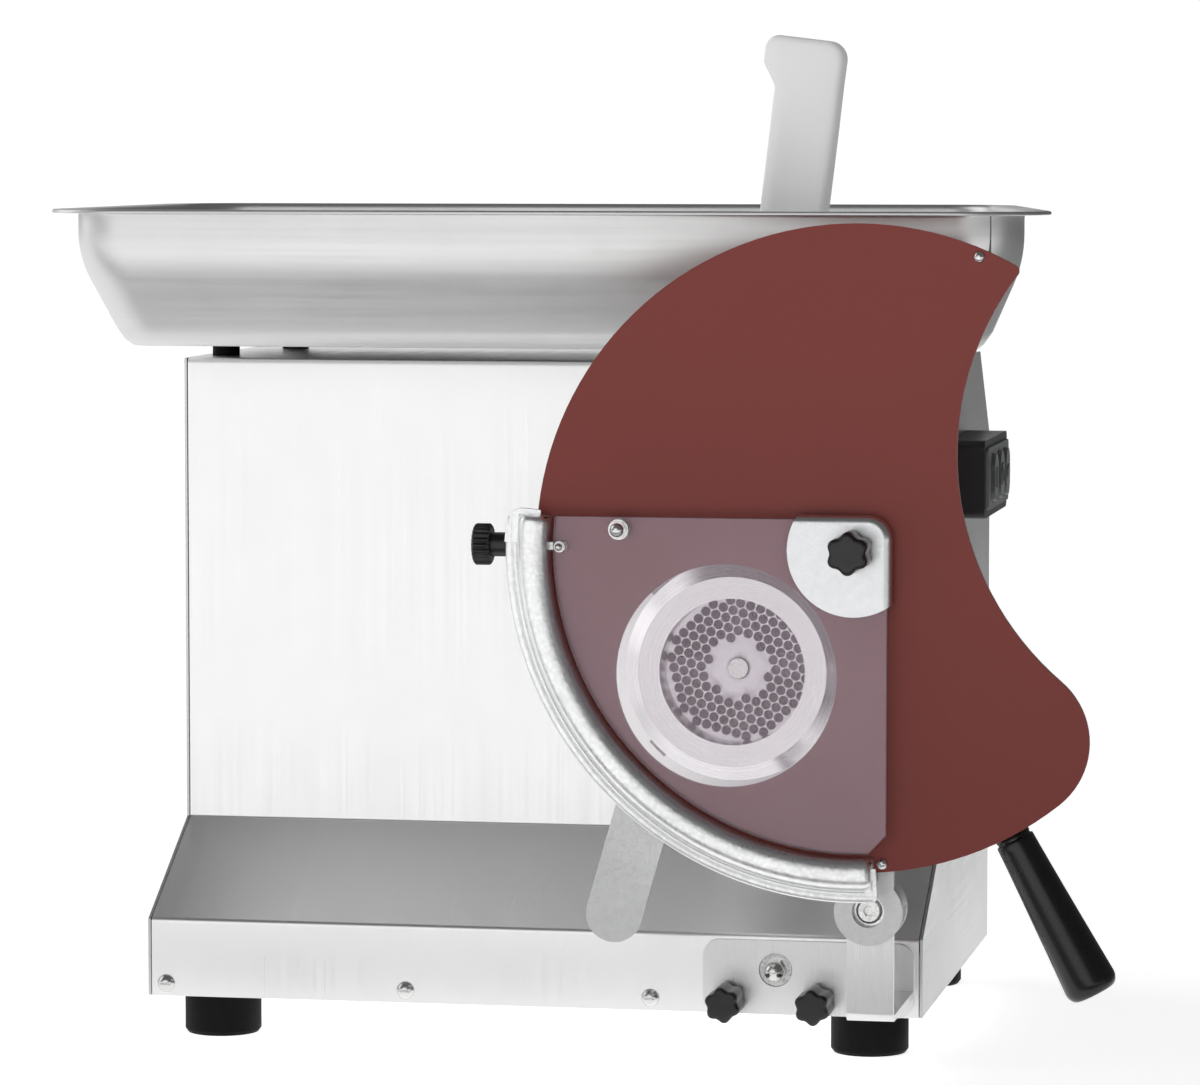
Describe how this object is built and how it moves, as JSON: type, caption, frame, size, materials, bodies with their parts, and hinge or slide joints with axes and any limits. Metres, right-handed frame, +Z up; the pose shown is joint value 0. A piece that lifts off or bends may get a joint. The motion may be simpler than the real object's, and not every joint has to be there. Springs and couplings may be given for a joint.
{
  "type": "electric meat grinder",
  "caption": "Counter-top electric meat grinder: steel housing, feed tray with pusher, side switch box and a swing-away outlet guard with clear window and turning portioning disc.",
  "frame": {"origin": "middle of the bounding box in X and Y, on the plane the rubber feet stand on", "axes": "+X to the right seen from the front (towards the switch side), +Y to the back (away from the outlet), +Z up"},
  "size_m": [0.5428, 0.4184, 0.5004],
  "materials": {
    "stainless": "fine satin sheet",
    "stainless_side": "fine satin sheet",
    "galvanised": "matt zinc-coated sheet",
    "black_rubber": "matt",
    "bright_steel": "bright turned steel",
    "tray_stainless": "satin deep-drawn sheet",
    "white_plastic": "milky translucent",
    "cast_case": "as cast",
    "motor_paint": "semi-gloss",
    "shaft_steel": "machined",
    "grey_plastic": "satin",
    "black_plastic": "satin",
    "button_plastic": "semi-gloss",
    "polished_head": "polished stainless",
    "plate_steel": "ground",
    "brushed_bracket": "brushed",
    "bright_channel": "bright tumbled",
    "clear_window": "clear plastic with a slight violet tint",
    "red_paint": "satin powder coat",
    "black_grip": "semi-gloss"
  },
  "bodies": {
    "housing": {"front_cover": "stainless", "side_panel_left": "stainless_side", "side_panel_right": "stainless_side", "rear_panel": "stainless_side", "base_plate": "galvanised", "rubber_feet": "black_rubber", "cover_screws": "bright_steel", "tray_bumpers": "black_rubber", "gearbox_case": "cast_case", "shaft_bearings": "bright_steel", "motor_frame": "motor_paint", "motor_cradle": "galvanised", "run_capacitor": "grey_plastic", "terminal_block": "grey_plastic", "cable_gland": "black_plastic", "switch_box": "black_plastic", "switch_plate": "grey_plastic", "grinder_barrel": "polished_head", "hole_plate": "plate_steel", "clamp_claw": "bright_steel", "guard_bracket": "brushed_bracket", "bracket_stud": "bright_steel", "hinge_screw": "bright_steel"},
    "tray": {"feed_tray": "tray_stainless"},
    "pusher": {"pusher": "white_plastic"},
    "rotor": {"motor_rotor": "shaft_steel"},
    "lay": {"layshaft": "shaft_steel"},
    "drive": {"output_shaft": "shaft_steel", "feed_screw": "polished_head", "cutting_knife": "bright_steel"},
    "start_button": {"button_start": "button_plastic"},
    "stop_button": {"button_stop": "button_plastic"},
    "reverse_button": {"button_reverse": "button_plastic"},
    "ring": {"ring_nut": "polished_head"},
    "clamp": {"clamp_knob": "black_plastic"},
    "left_knob": {"bracket_knob_left": "black_plastic"},
    "right_knob": {"bracket_knob_right": "black_plastic"},
    "guard": {"guard_frame": "galvanised", "arc_channel": "bright_channel", "guard_window": "clear_window", "window_screws": "bright_steel", "pivot_post": "bright_steel", "corner_bracket": "brushed_bracket"},
    "pivot_knob": {"corner_knob": "black_plastic"},
    "disc": {"portioning_disc": "red_paint", "disc_hub": "black_plastic", "stop_rivets": "bright_steel", "handle_arm": "black_plastic", "handle_grip": "black_grip"},
    "lock": {"lock_knob": "black_plastic"}
  },
  "joints": [
    {"name": "tray_lift", "type": "slide", "parent": "housing", "child": "tray", "axis": [0, 0, 1], "range_m": [0, 0.12]},
    {"name": "pusher_slide", "type": "slide", "parent": "tray", "child": "pusher", "axis": [0, 0, 1], "range_m": [-0.018, 0.16]},
    {"name": "motor_spin", "type": "hinge", "parent": "housing", "child": "rotor", "pos_m": [-0.02168, 0.0962, 0.14182], "axis": [0, 1, 0], "continuous": true},
    {"name": "lay_spin", "type": "hinge", "parent": "housing", "child": "lay", "pos_m": [0.02844, 0.0162, 0.16736], "axis": [0, 1, 0], "continuous": true},
    {"name": "screw_spin", "type": "hinge", "parent": "housing", "child": "drive", "pos_m": [0.08858, -0.0638, 0.198], "axis": [0, 1, 0], "continuous": true},
    {"name": "ring_turn", "type": "hinge", "parent": "housing", "child": "ring", "pos_m": [0.08858, -0.1438, 0.198], "axis": [0, -1, 0], "range_deg": [0, 720]},
    {"name": "clamp_turn", "type": "hinge", "parent": "housing", "child": "clamp", "pos_m": [0.15058, -0.0438, 0.198], "axis": [0, -1, 0], "range_deg": [0, 720]},
    {"name": "left_knob_turn", "type": "hinge", "parent": "housing", "child": "left_knob", "pos_m": [0.07578, -0.0988, 0.03], "axis": [0, -1, 0], "range_deg": [0, 720]},
    {"name": "right_knob_turn", "type": "hinge", "parent": "housing", "child": "right_knob", "pos_m": [0.11978, -0.0988, 0.03], "axis": [0, -1, 0], "range_deg": [0, 720]},
    {"name": "start_press", "type": "slide", "parent": "housing", "child": "start_button", "axis": [-1, 0, 0], "range_m": [0, 0.002], "stiffness_N_per_m": 600, "springref_m": -0.001},
    {"name": "stop_press", "type": "slide", "parent": "housing", "child": "stop_button", "axis": [-1, 0, 0], "range_m": [0, 0.002], "stiffness_N_per_m": 600, "springref_m": -0.001},
    {"name": "reverse_press", "type": "slide", "parent": "housing", "child": "reverse_button", "axis": [-1, 0, 0], "range_m": [0, 0.002], "stiffness_N_per_m": 600, "springref_m": -0.001},
    {"name": "guard_swing", "type": "hinge", "parent": "housing", "child": "guard", "pos_m": [0.15538, -0.1638, 0.0867], "axis": [0, 1, 0], "range_deg": [0, 20]},
    {"name": "disc_turn", "type": "hinge", "parent": "guard", "child": "disc", "pos_m": [0.15008, -0.1768, 0.2585], "axis": [0, -1, 0], "range_deg": [0, 105]},
    {"name": "pivot_knob_turn", "type": "hinge", "parent": "guard", "child": "pivot_knob", "pos_m": [0.15008, -0.1988, 0.2585], "axis": [0, -1, 0], "range_deg": [0, 720]},
    {"name": "lock_turn", "type": "hinge", "parent": "guard", "child": "lock", "pos_m": [-0.01992, -0.1768, 0.2585], "axis": [-1, 0, 0], "range_deg": [0, 720]}
  ],
  "couplings": [
    {"joint": "lay_spin", "follows": "motor_spin", "ratio": -0.25},
    {"joint": "screw_spin", "follows": "motor_spin", "ratio": 0.125}
  ]
}
